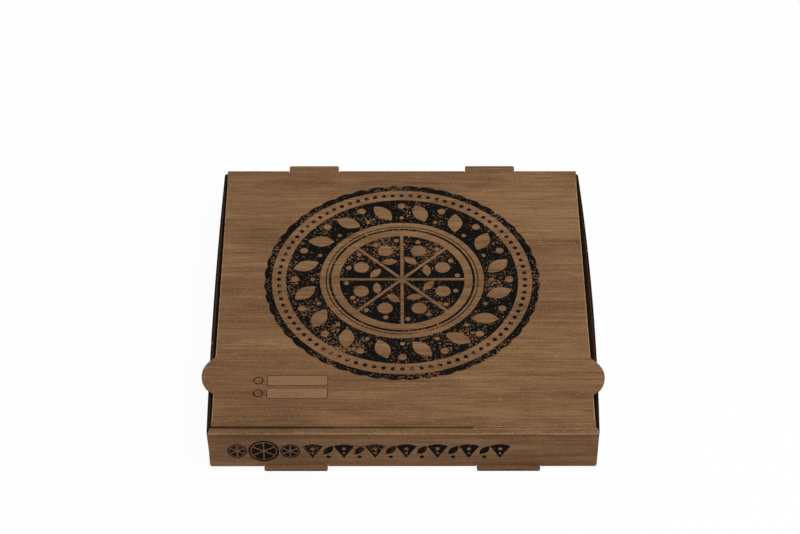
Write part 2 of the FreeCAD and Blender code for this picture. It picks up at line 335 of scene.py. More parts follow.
def merge():
    """Joins the points that lie on each other."""
    bpy.ops.mesh.select_mode(type="VERT")
    bpy.ops.mesh.select_all(action="SELECT")
    bpy.ops.mesh.remove_doubles(threshold=MEETING)


def face_out(piece, faces_out):
    """Turns the faces of the sheet so that the one in its middle looks out."""
    merge()
    bpy.ops.mesh.normals_make_consistent(inside=False)
    mesh = bmesh.from_edit_mesh(piece.data)
    middle = min(mesh.faces, key=lambda face: face.calc_center_median().to_2d().length)
    if not faces_out(middle.normal):
        bpy.ops.mesh.flip_normals()
    bpy.ops.object.mode_set(mode="OBJECT")


def give_thickness(piece, thickness, crease, flat_place, settle, light_and_rub):
    """Makes board of the folded sheet and marks where its flutes and folds are.

    across runs from 0 at the outer liner to 1 at the inner one, and flute is the place across
    the flutes in the flat sheet. fold_light_and_wear is above 0 where a fold is painted pale, as
    highlight and rubbed wear, and below 0 where it is painted dark: painted shade at the front gap and
    darker bands along the front roll, as rub tells from a normal and a place. settle moves back
    the corners that the thickness has pushed out of the flat faces.
    """
    count = len(piece.data.vertices)
    select_only(piece)
    thickened = piece.modifiers.new("board", "SOLIDIFY")
    thickened.thickness = thickness
    thickened.offset = 0
    thickened.use_even_offset = True
    thickened.material_offset = 1
    thickened.material_offset_rim = 2
    bpy.ops.object.modifier_apply(modifier=thickened.name)
    mesh = piece.data
    across = mesh.attributes.new("across", "FLOAT", "POINT")
    flute = mesh.attributes.new("flute", "FLOAT", "POINT")
    for vertex in mesh.vertices:
        vertex.co = settle(vertex.co.copy())
        across.data[vertex.index].value = 0 if vertex.index < count else 1
        flute.data[vertex.index].value = flat_place(vertex.co)
    press_folds(piece, crease)
    top = bpy.context.scene.pizza_box_sizes.height
    for vertex in mesh.vertices:
        vertex.co.z = min(vertex.co.z, top)
    light_and_wear = mesh.attributes.new("fold_light_and_wear", "FLOAT", "FACE")
    for face in mesh.polygons:
        outside = face.material_index % 3 == 0
        light_and_wear.data[face.index].value = light_and_rub(face.normal, face.center) if outside else 0.0
    bpy.ops.object.shade_smooth_by_angle(angle=math.radians(10))
    flat = piece.modifiers.new("flat faces", "WEIGHTED_NORMAL")
    flat.keep_sharp = True
    bpy.ops.object.modifier_apply(modifier=flat.name)


def press_folds(piece, radius):
    """Rounds the outside of the sharp folds, and of the upright ones three times as much."""
    for upright, size in ((True, 3 * radius), (False, radius)):
        bpy.ops.object.mode_set(mode="EDIT")
        bpy.ops.mesh.select_mode(type="EDGE")
        bpy.ops.mesh.select_all(action="DESELECT")
        mesh = bmesh.from_edit_mesh(piece.data)
        for edge in mesh.edges:
            step = edge.verts[1].co - edge.verts[0].co
            outside = all(face.material_index % 3 == 0 for face in edge.link_faces)
            stands = abs(step.z) > 0.9 * step.length
            if outside and len(edge.link_faces) == 2 and stands == upright:
                edge.select_set(edge.calc_face_angle_signed() > 1.0)
        bmesh.update_edit_mesh(piece.data)
        bpy.ops.mesh.bevel(offset=size, segments=4 if upright else 3, affect="EDGES")
        bpy.ops.object.mode_set(mode="OBJECT")


def add_node(tree, kind, links=None, **settings):
    """Adds a shader node with its settings, and sets or links its sockets.

    A node that is given for a socket stands for its first output.
    """
    made = tree.nodes.new("ShaderNode" + kind)
    for key, value in settings.items():
        setattr(made, key, value)
    for key, value in (links or {}).items():
        if isinstance(value, bpy.types.Node):
            value = value.outputs[0]
        if isinstance(value, bpy.types.NodeSocket):
            tree.links.new(value, made.inputs[key])
        else:
            made.inputs[key].default_value = value
    return made


def new_material(name):
    """An empty material and its node tree."""
    material = bpy.data.materials.new(name)
    material.use_nodes = True
    material.node_tree.nodes.clear()
    return material, material.node_tree


def solid(value):
    """A colour setting as the four numbers that a node takes."""
    return (value[0], value[1], value[2], 1.0)


def streaks(tree, place, length, width, axis, detail=2.0):
    """Soft, slightly wavy streaks of a length and width in metres, running along one axis."""
    size = [1 / width] * 3
    size[axis] = 1 / length
    spread = add_node(tree, "Mapping", {"Vector": place, "Scale": size})
    return add_node(tree, "TexNoise", {
        "Vector": spread, "Scale": 1.0, "Detail": detail, "Roughness": 0.6, "Distortion": 0.5})


def weigh(tree, value, weight, rest):
    """Adds a noise, centred on zero, to the rest with a weight."""
    centred = add_node(tree, "Math", {0: value, 1: 0.5}, operation="SUBTRACT")
    return add_node(tree, "Math", {0: centred, 1: weight, 2: rest}, operation="MULTIPLY_ADD")


def patch(tree, place, middle, radius):
    """Share of a soft round patch, from 1 in its middle to 0 at its rim."""
    away = add_node(tree, "VectorMath", {0: place, 1: middle}, operation="DISTANCE")
    return add_node(tree, "MapRange", {
        "Value": away.outputs["Value"], "From Min": 0.3 * radius, "From Max": radius,
        "To Min": 1.0, "To Max": 0.0}, interpolation_type="SMOOTHSTEP")


def flute_wave(tree, along, height, wander=0.0):
    """Wave of the fluted paper at a place across the flutes, about a middle of 0.5."""
    turn = add_node(tree, "Math", {0: along, 1: 2 * math.pi / FLUTE_PITCH, 2: wander},
                    operation="MULTIPLY_ADD")
    wave = add_node(tree, "Math", {0: turn}, operation="SINE")
    return add_node(tree, "Math", {0: wave, 1: height, 2: 0.5}, operation="MULTIPLY_ADD")


def kraft_paper(tree, colours, axis):
    """Colour and relief of unbleached kraft liner, its fibres drawn out along one axis.

    The fibres of the liner lie along the paper web, in streaks about 1.5 mm apart and a few
    centimetres long. The waves below it press through as faint lines. Wider bands and slow
    changes of tone come from the pulp, and small flecks from single fibre bundles.
    """
    place = add_node(tree, "TexCoord").outputs["Object"]
    band = streaks(tree, place, 0.110, 0.0055, axis)
    along = add_node(tree, "VectorMath", {0: place, 1: (0, 1, 1 - axis / 2)},
                     operation="DOT_PRODUCT")
    wander = add_node(tree, "Math", {0: band, 1: 12.0}, operation="MULTIPLY")
    parts = (
        (flute_wave(tree, along.outputs["Value"], 0.5, wander), 0.13),
        (streaks(tree, place, 0.040, 0.0013, axis), 0.95),
        (band, 0.60),
        (streaks(tree, place, 0.450, 0.0300, axis, 1.0), 0.50),
        (streaks(tree, place, 0.045, 0.0180, axis), 0.50),
        (streaks(tree, place, 0.0016, 0.0009, axis, 1.0), 0.60),
    )
    tone = 0.5
    for part, weight in parts:
        tone = weigh(tree, part, weight, tone)
    for centre, radius, weight in PATCHES:
        share = patch(tree, place, centre, radius)
        tone = add_node(tree, "Math", {0: share, 1: weight, 2: tone}, operation="MULTIPLY_ADD")
    tint = add_node(tree, "ValToRGB", {"Fac": tone})
    tint.color_ramp.elements.new(0.5)
    levels = ((0.22, colours.kraft_dark), (0.50, colours.kraft), (0.80, colours.kraft_light))
    for element, (level, shade) in zip(tint.color_ramp.elements, levels):
        element.position = level
        element.color = solid(shade)
    specks = add_node(tree, "TexNoise", {"Vector": place, "Scale": 800.0, "Detail": 1.0})
    # Each layer's noise, the levels between which it comes up, its strength and its colour.
    layers = (
        (streaks(tree, place, 0.200, 0.0110, axis), 0.48, 0.72, 0.55, colours.kraft_red),
        (streaks(tree, place, 0.050, 0.0018, axis, 3.0), 0.56, 0.70, 0.75, colours.hair),
        (specks, 0.66, 0.74, 0.60, colours.speck),
    )
    for noise, low, high, most, shade in layers:
        share = add_node(tree, "MapRange", {
            "Value": noise, "From Min": low, "From Max": high, "To Max": most})
        tint = add_node(tree, "Mix", {0: share, 6: tint, 7: solid(shade)},
                        data_type="RGBA").outputs[2]
    return tint, tone, place


def lit_and_worn_folds(tree, colours, tint, place):
    """Paints the folds pale, as highlight and rubbed wear, and paints dark the shade of the front gap
    and the bands along the roll, as fold_light_and_wear gives them.
    """
    light_and_wear = add_node(tree, "Attribute", attribute_name="fold_light_and_wear").outputs["Fac"]
    light_and_rub = add_node(tree, "TexNoise", {"Vector": place, "Scale": 300.0, "Detail": 2.0})
    light_and_rub = add_node(tree, "MapRange", {"Value": light_and_rub, "From Min": 0.25, "From Max": 0.55})
    for strength, shade in ((light_and_rub, colours.worn), (-1.0, colours.crease)):
        share = add_node(tree, "Math", {0: light_and_wear, 1: strength}, operation="MULTIPLY", use_clamp=True)
        tint = add_node(tree, "Mix", {0: share, 6: tint, 7: solid(shade)},
                        data_type="RGBA").outputs[2]
    return tint


def paper_shader(tree, tint, relief, roughness, depth, gloss=0.25):
    """Matt paper with a relief of a depth in metres."""
    bump = add_node(tree, "Bump", {"Strength": 0.6, "Distance": depth, "Height": relief})
    paper = add_node(tree, "BsdfPrincipled", {
        "Base Color": tint, "Roughness": roughness, "IOR": 1.5, "Specular IOR Level": gloss,
        "Normal": bump})
    add_node(tree, "OutputMaterial", {"Surface": paper})


def kraft_liner(name, colours, axis):
    """Unbleached kraft linerboard, pressed and dried on a paper machine.

    To the eye it is a matt mid brown with long fine streaks, small flecks and no gloss.
    """
    material, tree = new_material(name)
    tint, relief, place = kraft_paper(tree, colours, axis)
    tint = lit_and_worn_folds(tree, colours, tint, place)
    paper_shader(tree, tint, relief, 0.86, 0.00025)
    return material


def fluted_edge(name, paper_tint, hollow_shade_tint, nick_tint, nicks):
    """Die-cut edge of single-wall corrugated board.

    Two thin pale liners show with a waved paper between them, and the hollows beside it are
    painted dark as the shade inside them. The knife leaves the liners broken and bent over in
    places. nicks is the share of the edge where torn liner shows pale.
    """
    material, tree = new_material(name)
    place = add_node(tree, "TexCoord").outputs["Object"]
    across = add_node(tree, "Attribute", attribute_name="across").outputs["Fac"]
    flat = add_node(tree, "Attribute", attribute_name="flute").outputs["Fac"]
    wave = flute_wave(tree, flat, 0.34)
    shares = []
    for middle, low, high, start, end in ((wave, 0.10, 0.17, 1.0, 0.0), (0.5, 0.36, 0.42, 0.0, 1.0)):
        off = add_node(tree, "Math", {0: across, 1: middle}, operation="SUBTRACT")
        off = add_node(tree, "Math", {0: off}, operation="ABSOLUTE")
        shares.append(add_node(tree, "MapRange", {
            "Value": off, "From Min": low, "From Max": high, "To Min": start, "To Max": end}))
    broken = add_node(tree, "TexNoise", {"Vector": place, "Scale": 260.0, "Detail": 3.0})
    broken = add_node(tree, "MapRange", {"Value": broken, "From Min": 0.38, "From Max": 0.60})
    paper = add_node(tree, "Math", {0: shares[0], 1: shares[1]}, operation="MAXIMUM")
    paper = add_node(tree, "Math", {0: paper, 1: broken}, operation="MULTIPLY")
    torn = add_node(tree, "TexNoise", {"Vector": place, "Scale": 75.0, "Detail": 3.0})
    torn = add_node(tree, "MapRange", {
        "Value": torn, "From Min": 0.80 - nicks, "From Max": 0.84 - nicks, "To Max": 0.8})
    tint = add_node(tree, "Mix", {0: paper, 6: solid(hollow_shade_tint), 7: solid(paper_tint)},
                    data_type="RGBA")
    tint = add_node(tree, "Mix", {0: torn, 6: tint.outputs[2], 7: solid(nick_tint)},
                    data_type="RGBA")
    paper_shader(tree, tint.outputs[2], paper, 0.92, 0.0004)
    return material


def flexo_ink(name, colours, ink, gone, cover):
    """Water-based flexographic ink, printed from a worn stamp plate onto the kraft liner.

    It dries matt and nearly black. The paper shows through in specks of a millimetre, which
    lie closer where the plate is most worn. gone is the share of it that is missing, and
    cover its strength where it lies.
    """
    material, tree = new_material(name)
    tint, relief, place = kraft_paper(tree, colours, 0)
    specks = add_node(tree, "TexNoise", {
        "Vector": place, "Scale": 720.0, "Detail": 1.5, "Roughness": 0.5})
    faded = add_node(tree, "TexNoise", {"Vector": place, "Scale": 26.0, "Detail": 2.0})
    worn = weigh(tree, faded, 0.55, specks)
    edge = 0.5 + (0.5 - gone) * 0.36
    covered = add_node(tree, "MapRange", {
        "Value": worn, "From Min": edge - 0.015, "From Max": edge + 0.015, "To Min": cover,
        "To Max": 0.0})
    mixed = add_node(tree, "Mix", {0: covered, 6: tint, 7: solid(ink)}, data_type="RGBA")
    paper_shader(tree, mixed.outputs[2], relief, 0.88, 0.00025, 0.1)
    return material


def board_materials(colours):
    """The six slots of a board piece: outer liner, inner liner and cut edge, for each grain; the upright
    grain's cut edge is painted near black as shade.
    """
    made = bpy.data.materials
    if "kraft_liner" not in made:
        kraft_liner("kraft_liner", colours, 0)
        kraft_liner("kraft_liner_inside", colours, 0)
        kraft_liner("kraft_liner_upright", colours, 2)
        kraft_liner("kraft_liner_upright_inside", colours, 2)
        fluted_edge("fluted_edge", colours.flute, colours.hollow_shade, colours.speck, 0.10)
        # The cut edges of the upright pieces are painted near black, as the shade of the gap between the
        # side walls and the lid.
        fluted_edge("fluted_edge_shaded", colours.shaded, colours.shaded_hollow, colours.nick, 0.14)
    names = ("kraft_liner", "kraft_liner_inside", "fluted_edge",
             "kraft_liner_upright", "kraft_liner_upright_inside", "fluted_edge_shaded")
    return [made[name] for name in names]


def dress(piece, materials):
    """Puts the materials on a piece."""
    for material in materials:
        piece.data.materials.append(material)


def bow_at(y, front, middle, back, middle_place):
    """How far a side wall's top stands out at a place along it."""
    ends = (-CORNER_FLAP_Y, middle_place, CORNER_FLAP_Y)
    heights = (front, middle, back)
    total = 0.0
    for own, height in zip(ends, heights):
        share = height
        for other in ends:
            if other != own:
                share *= (y - other) / (own - other)
        total += share
    return total


def is_flat(normal):
    """True for a face that isn't part of a fold's curve."""
    return max(abs(part) for part in normal) > 0.992


def gap_shade_and_highlight(x):
    """Painted shade beside the front gap, darkest at the left where the gap is widest, turning into a
    painted highlight at the right where the lid lies close.
    """
    return -0.9 + 1.2 * min(max((x + 0.02) / 0.06, 0), 1)


class MESH_OT_pizza_box_tray(bpy.types.Operator):
    """Folds the tray: floor, side walls with corner flaps, rolled front and back wall"""

    bl_idname = "mesh.pizza_box_tray"
    bl_label = "Pizza Box Tray"

    def execute(self, context):
        sizes = context.scene.pizza_box_sizes
        half = sizes.board / 2
        cut = LOCK_HALF + LOCK_SLIT
        lock = [LOCK_PLACE + place for place in (-cut, -LOCK_HALF, LOCK_HALF, cut)]
        vent = [BACK_TAB_PLACE - VENT_HALF, BACK_TAB_PLACE + VENT_HALF]
        wall_top = sizes.height - sizes.board - 0.0003
        tray = start_sheet("tray_board", (-WALL, -WALL), (WALL, WALL), half)
        score(0, [side * place for side in (-1, 1) for place in lock + vent + [LID_HALF]])
        score(1, [-CORNER_FLAP_Y, SLOT_LINE, CORNER_FLAP_Y])
        score(1, [-0.14 + 0.02 * step for step in range(15)])
        cut_out(tray, lambda p: abs(p.x) > LID_HALF and p.y > CORNER_FLAP_Y)
        self.side_walls(tray, half, wall_top)
        bows = {
            -1: (0.0013, sizes.bow_left, 0.0008, -0.030),
            1: (0.0006, sizes.bow_right, 0.0, -0.020),
        }

        def lean(point):
            if point.z > FOOT:
                side = 1 if point.x > 0 else -1
                rise = (point.z - FOOT) / (wall_top - FOOT)
                point.x += side * rise * bow_at(point.y, *bows[side])
            return point

        move_points(tray, lean)
        self.front_roll(tray, sizes, lock)
        self.back_wall(tray, sizes, vent)
        face_out(tray, lambda normal: normal.z < 0)

        def flat_place(point):
            upright = abs(point.x) > LID_HALF and abs(point.y) < 0.1634
            return math.copysign(abs(point.x) + point.z, point.x) if upright else point.x

        def settle(point):
            point.z = min(max(point.z, 0), sizes.height)
            if point.z < FOOT + half:
                point.x = min(max(point.x, -OUTER), OUTER)
            return point

        def light_and_rub(normal, place):
            # Faces by the front gap get its painted shade; the flat band just below the roll's edge and
            # the lower facets of that edge are painted darker.
            by_the_gap = place.y > sizes.roll_depth - OUTER - 0.0019
            if is_flat(normal) and normal.z > 0 and by_the_gap:
                return 0.7 * gap_shade_and_highlight(place.x)
            if is_flat(normal):
                return -0.3 if normal.y < 0 and place.z > 0.036 else 0.0
            if normal.y > 0.1:
                return gap_shade_and_highlight(place.x)
            # Painted highlight on the top facets of the roll's rounded edge.
            if normal.z > 0.8:
                return 0.42
            return -0.45 if normal.z < 0.5 else 0.0

        dress(tray, board_materials(context.scene.pizza_box_colours))
        give_thickness(tray, sizes.board, sizes.crease, flat_place, settle, light_and_rub)
        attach(tray, "tray")
        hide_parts("tray")
        return {"FINISHED"}

    def side_walls(self, tray, half, wall_top):
        """Side walls with the corner flaps at both their ends."""
        for side in (-1, 1):
            pick(tray, "EDGE", lambda p: abs(p.y) < CORNER_FLAP_Y + SLACK, x=side * WALL)
            push(0, 0, FOOT - half)
            push(0, 0, wall_top - FOOT)
            for end, length in ((-1, FRONT_CORNER_FLAP), (1, BACK_CORNER_FLAP)):
                pick(tray, "EDGE", lambda p: p.z > FOOT - SLACK, x=side * WALL, y=end * CORNER_FLAP_Y)
                push(-side * length, 0, 0)
                round_off(tray, 0.006, lambda p: p.z > FOOT - SLACK, x=side * (WALL - length),
                          y=end * CORNER_FLAP_Y)
        use_upright_liner(tray, lambda z: z > 0.001)

    def front_roll(self, tray, sizes, lock):
        """Front wall, the strip on top, the inner wall with its lock tabs, and the lock flaps."""
        half = sizes.board / 2
        level = sizes.height - half
        turn = level - sizes.roll_bend
        inner = -OUTER + sizes.roll_depth - half
        pick(tray, "EDGE", y=-WALL, z=half)
        push(0, 0, FOOT - half)
        push(0, 0, turn - BAND_BELOW - FOOT)
        push(0, 0, BAND_BELOW)
        cut_out(tray, lambda p: lock[0] < abs(p.x) < lock[3] and p.y < SLOT_LINE and p.z < FOOT)
        for side in (-1, 1):
            pick(tray, "EDGE", lambda p: p.z > FOOT - SLACK, x=side * WALL, y=-WALL)
            push(side * half, 0, 0)
        pick(tray, "EDGE", y=-WALL, z=turn)
        fold((0, -WALL + sizes.roll_bend, turn), (1, 0, 0), 90, sizes.roll_steps)
        push(0, BAND_BEHIND, 0)
        push(0, inner + WALL - sizes.roll_bend - BAND_BEHIND - BAND_BY_GAP, 0)
        push(0, BAND_BY_GAP, 0)
        push(0, 0, INNER_FOOT - level)
        for place in (LOCK_PLACE - TAB_HALF, LOCK_PLACE + TAB_HALF):
            for side in (-1, 1):
                pick(tray, "FACE", y=inner)
                bpy.ops.mesh.bisect(
                    plane_co=(side * place, 0, 0), plane_no=(1, 0, 0), threshold=1e-6)
        pick(tray, "EDGE", lambda p: abs(abs(p.x) - LOCK_PLACE) < TAB_HALF + SLACK,
             y=inner, z=INNER_FOOT)
        push(0, 0, -TAB_DEPTH)
        pick(tray, "EDGE", lambda p: lock[1] - SLACK < abs(p.x) < lock[2] + SLACK, y=-WALL, z=FOOT)
        push(0, 0, half - FOOT)
        front = -OUTER - sizes.lock_reach
        push(0, front + WALL, 0)

        def narrow(point):
            """Brings in the ends of the roll's strip and the tips of the lock flaps."""
            if abs(point.x) > 0.1645 and -0.1616 < point.y < -0.1575:
                share = (point.y + 0.1615) / 0.0042
                point.x = math.copysign(OUTER - 0.002 * share, point.x)
            if close(point.y, front):
                middle = math.copysign(LOCK_PLACE, point.x)
                if abs(point.x - middle) > 0.0270:
                    point.x += math.copysign(0.0003, middle - point.x)
            return point

        def shift(point):
            """Moves the lock flaps to the left, where they lie on the table."""
            if point.y < -0.1565 and point.z < FOOT + SLACK and 0.062 < abs(point.x) < 0.1185:
                point.x -= 0.0011 if point.x < 0 else 0.0007
            return point

        move_points(tray, narrow)
        round_off(tray, TIP_ROUNDING, lambda p: abs(abs(p.x) - LOCK_PLACE) > 0.026, 5, y=front)
        move_points(tray, shift)

    def back_wall(self, tray, sizes, vent):
        """Back wall with its two vent notches, up to the fold of the lid."""
        pick(tray, "EDGE", y=WALL, z=sizes.board / 2)
        push(0, 0, VENT_FLOOR - sizes.board / 2)
        pick(tray, "EDGE", lambda p: not vent[0] + SLACK < abs(p.x) < vent[1] - SLACK,
             y=WALL, z=VENT_FLOOR)
        push(0, 0, sizes.height - FOOT - VENT_FLOOR)


class MESH_OT_pizza_box_lid(bpy.types.Operator):
    """Folds the lid: top panel, tuck flap, side flaps, half-round ears and back tabs"""

    bl_idname = "mesh.pizza_box_lid"
    bl_label = "Pizza Box Lid"

    def execute(self, context):
        sizes = context.scene.pizza_box_sizes
        half = sizes.board / 2
        level = sizes.height - half
        corner = LID_HALF - half
        root = math.sqrt((sizes.ear_radius + EAR_ROOT) ** 2
                         - (sizes.ear_radius - sizes.ear_reach + EAR_ROOT) ** 2)
        tab = [BACK_TAB_PLACE - BACK_TAB_HALF, BACK_TAB_PLACE + BACK_TAB_HALF]
        roll_back = -OUTER + sizes.roll_depth
        starts = {-1: roll_back + sizes.gap_left + 0.007, 1: roll_back + sizes.gap_right + 0.007}
        end = WALL - 0.015
        lid = start_sheet("lid_board", (-LID_HALF, LID_START), (LID_HALF, LID_HALF), level)
        score(0, [side * place for side in (-1, 1) for place in [corner, TUCK_HALF] + tab])
        for side in (-1, 1):
            for place in (starts[side], EAR_PLACE[side] - root, EAR_PLACE[side] + root, end):
                pick(lid, "FACE", lambda p: side * p.x > TUCK_HALF)
                bpy.ops.mesh.bisect(plane_co=(0, place, 0), plane_no=(0, 1, 0), threshold=1e-6)

        def front_line(x):
            share = (x + LID_HALF) / (2 * LID_HALF)
            return roll_back + half + sizes.gap_left + (sizes.gap_right - sizes.gap_left) * share

        def slant(point):
            if close(point.y, LID_START):
                point.y = front_line(point.x)
            return point

        move_points(lid, slant)
        for side in (-1, 1):
            cut_out(lid, lambda p: side * p.x > corner and starts[side] < p.y < end
                    and abs(p.y - EAR_PLACE[side]) > root)
            self.side_flap(lid, sizes, side, starts[side], end, root, level)
            self.ear(lid, sizes, side, level, root)
        self.tuck_flap(lid, sizes, front_line, level)
        pick(lid, "EDGE", lambda p: tab[0] - SLACK < abs(p.x) < tab[1] + SLACK, y=LID_HALF)
        reach = OUTER + sizes.back_tab_reach
        push(0, reach - LID_HALF, 0)
        round_off(lid, TIP_ROUNDING, steps=5, y=reach)
        move_points(lid, lambda point: point - Vector((0, 0, INK_LIFT)))
        face_out(lid, lambda normal: normal.z > 0)

        def flat_place(point):
            hanging = abs(point.x) > corner - half and point.z < level - half and point.y > -0.151
            return math.copysign(abs(point.x) + level - point.z, point.x) if hanging else point.x

        def settle(point):
            if point.z > level:
                point.z = sizes.height - 2 * INK_LIFT
            elif point.z > level - 0.0013:
                point.z = level - half
            return point

        def light_and_rub(normal, place):
            # The fold facing the front gap gets the gap's painted shade; the other folds get a painted
            # highlight with rubbed wear.
            if is_flat(normal):
                return 0.0
            return gap_shade_and_highlight(place.x) if normal.y < -0.1 else 1.0

        dress(lid, board_materials(context.scene.pizza_box_colours))
        give_thickness(lid, sizes.board - 2 * INK_LIFT, sizes.crease, flat_place, settle, light_and_rub)
        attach(lid, "lid")
        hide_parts("lid")
        return {"FINISHED"}

    def side_flap(self, lid, sizes, side, start, end, root, level):
        """Side flap, with the half-round notch that its ear was cut from."""
        bottom = sizes.height - sizes.side_flap_depth
        wall = side * (LID_HALF - sizes.board / 2)
        place = EAR_PLACE[side]
        pick(lid, "EDGE", lambda p: start - SLACK < p.y < end + SLACK
             and abs(p.y - place) > root - SLACK, x=wall)
        push(0, 0, bottom - level)
        radius = sizes.ear_radius + EAR_ROOT
        rise = sizes.ear_radius - sizes.ear_reach + EAR_ROOT
        bpy.ops.mesh.select_all(action="DESELECT")
        bpy.ops.mesh.primitive_circle_add(
            vertices=72, radius=radius, location=(wall, place, level + rise),
            rotation=(0, math.pi / 2, 0))
        bpy.ops.mesh.bisect(
            plane_co=(0, 0, level), plane_no=(0, 0, 1), clear_outer=True, threshold=1e-7)

        def meet(point):
            """Brings the ends of the notch onto the root of the ear."""
            off = abs(abs(point.y - place) - root)
            if close(point.x, wall) and close(point.z, level) and off < 1e-4:
                point.y = place + math.copysign(root, point.y - place)
            return point

        move_points(lid, meet)
        merge()
        pick(lid, "EDGE", lambda p: abs(p.y - place) < root + SLACK
             and (bottom - SLACK < p.z < level - SLACK or close(abs(p.y - place), root)), x=wall)
        bpy.ops.mesh.edge_face_add()

        def slope(point):
            """Slants both ends of the flap."""
            if close(point.x, wall) and close(point.z, bottom):
                if close(point.y, start):
                    point.y += FLAP_SLOPE
                if close(point.y, end):
                    point.y -= FLAP_SLOPE
            return point

        move_points(lid, slope)
        round_off(lid, 0.004, lambda p: close(p.y, start + FLAP_SLOPE)
                  or close(p.y, end - FLAP_SLOPE), x=wall, z=bottom)
        use_upright_liner(lid, lambda z: z < level - 0.0005)

    def ear(self, lid, sizes, side, level, root):
        """Half-round ear in the plane of the lid."""
        centre = side * (LID_HALF + sizes.ear_reach - sizes.ear_radius)
        share = sizes.ear_radius / (sizes.ear_radius + EAR_ROOT)
        meeting = centre + side * (sizes.ear_radius - sizes.ear_reach + EAR_ROOT) * share
        bpy.ops.mesh.select_all(action="DESELECT")
        bpy.ops.mesh.primitive_circle_add(
            vertices=96, radius=sizes.ear_radius, fill_type="NGON",
            location=(centre, EAR_PLACE[side], level))
        bpy.ops.mesh.bisect(
            plane_co=(meeting, 0, 0), plane_no=(side, 0, 0), clear_inner=True, threshold=1e-7)
        pick(lid, "EDGE", lambda p: abs(p.y - EAR_PLACE[side]) < root + SLACK
             and (close(p.x, meeting) or close(p.x, side * LID_HALF)), z=level)
        bpy.ops.mesh.edge_face_add()

    def tuck_flap(self, lid, sizes, front_line, level):
        """Front flap that hangs behind the front roll and leans into the box."""
        lean = math.tan(math.radians(5))
        bottom = sizes.height - sizes.tuck_depth
        pick(lid, "EDGE", lambda p: abs(p.y - front_line(p.x)) < SLACK, z=level)
        push(0, TUCK_BEND * lean, -TUCK_BEND)
        foot = level - TUCK_BEND
        pick(lid, "EDGE", lambda p: p.y < -0.15 and abs(p.x) < TUCK_HALF + SLACK, z=foot)
        push(0, (foot - bottom) * lean, bottom - foot)
        round_off(lid, 0.008, lambda p: abs(p.x) > TUCK_HALF - 0.001, z=bottom)


class MESH_OT_pizza_box_hinge(bpy.types.Operator):
    """Makes the folds that join the back wall to the lid, beside the tabs"""

    bl_idname = "mesh.pizza_box_hinge"
    bl_label = "Pizza Box Hinge Fold"

    def execute(self, context):
        sizes = context.scene.pizza_box_sizes
        level = sizes.height - sizes.board / 2
        foot = sizes.height - FOOT
        vent = [BACK_TAB_PLACE - VENT_HALF, BACK_TAB_PLACE + VENT_HALF]
        hinge = start_sheet("hinge_fold", (-LID_HALF, LID_HALF), (LID_HALF, WALL), level)
        score(0, [side * place for side in (-1, 1) for place in vent])
        cut_out(hinge, lambda p: vent[0] < abs(p.x) < vent[1])
        pick(hinge, "EDGE", y=WALL)
        push(0, 0, foot - level)
        face_out(hinge, lambda normal: normal.y > 0.5 or normal.z > 0.5)
        dress(hinge, board_materials(context.scene.pizza_box_colours))
        # The hinge's fold is painted pale, as highlight and rubbed wear.
        give_thickness(hinge, sizes.board, sizes.crease, lambda point: point.x, lambda point: point,
                       lambda normal, place: 0.0 if is_flat(normal) else 0.7)
        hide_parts("lid")
        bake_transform(hinge)
        return {"FINISHED"}


def place_copies(motif, places):
    """Copies a flat motif to each place (x, y, turn) and removes the first one."""
    made = []
    for x, y, turn in places:
        copy = motif.copy()
        copy.data = motif.data.copy()
        bpy.context.collection.objects.link(copy)
        copy.matrix_world = Matrix.Translation((x, y, 0)) @ Matrix.Rotation(turn, 4, "Z")
        made.append(copy)
    bpy.data.meshes.remove(motif.data)
    return made


def flat_disc(radius, count, squash=1.0, pinch=False):
    """A flat disc, squashed to an oval or pinched to a leaf."""
    clear_selection()
    bpy.ops.mesh.primitive_circle_add(vertices=count, radius=radius, fill_type="NGON")
    disc = bpy.context.object
    bpy.ops.object.mode_set(mode="EDIT")

    def shape(point):
        point.y *= squash
        if pinch:
            point.y *= max(0.0, 1 - (point.x / radius) ** 2) ** 0.5
        return point

    move_points(disc, shape)
    merge()
    bpy.ops.object.mode_set(mode="OBJECT")
    return disc


def flat_ring(outer, width, count=128, waves=0, swing=0.0):
    """A flat ring, with a scalloped outer edge where waves are given."""
    clear_selection()
    bpy.ops.mesh.primitive_circle_add(vertices=count, radius=outer - width, fill_type="NOTHING")
    ring = bpy.context.object
    open_whole(ring)
    bpy.ops.mesh.extrude_region_move(TRANSFORM_OT_translate={"value": (0, 0, 0)})
    bpy.ops.transform.resize(value=(outer / (outer - width),) * 3)

    def scallop(point):
        if waves and point.length > outer - width / 2:
            angle = math.atan2(point.y, point.x)
            return point * (1 + swing / outer * (abs(math.sin(angle * waves / 2)) - 1))
        return point

    move_points(ring, scallop)
    bpy.ops.object.mode_set(mode="OBJECT")
    return ring


def flat_bar(width, height, rounding):
    """A flat bar with round corners."""
    bar = start_sheet("bar", (-width / 2, -height / 2), (width / 2, height / 2), 0)
    round_off(bar, rounding, steps=5)
    bpy.ops.object.mode_set(mode="OBJECT")
    return bar


def flat_frame(width, height, line, rounding):
    """The outline of a flat bar."""
    bar = flat_bar(width, height, rounding)
    open_whole(bar)
    bpy.ops.mesh.inset(thickness=line)
    bpy.ops.mesh.delete(type="FACE")
    bpy.ops.object.mode_set(mode="OBJECT")
    return bar


def flat_slice(radius, share, gap):
    """A flat wedge of a round pie, its point at the middle, narrowed by a gap at each cut."""
    wedge = flat_disc(radius, 128)
    open_whole(wedge)
    for side in (-1, 1):
        angle = side * math.pi / share
        normal = (math.sin(angle) * -side, math.cos(angle) * side, 0)
        bpy.ops.mesh.select_all(action="SELECT")
        bpy.ops.mesh.bisect(plane_co=Vector(normal) * -gap, plane_no=normal, use_fill=False,
                            clear_outer=True)
    bpy.ops.object.mode_set(mode="OBJECT")
    return wedge


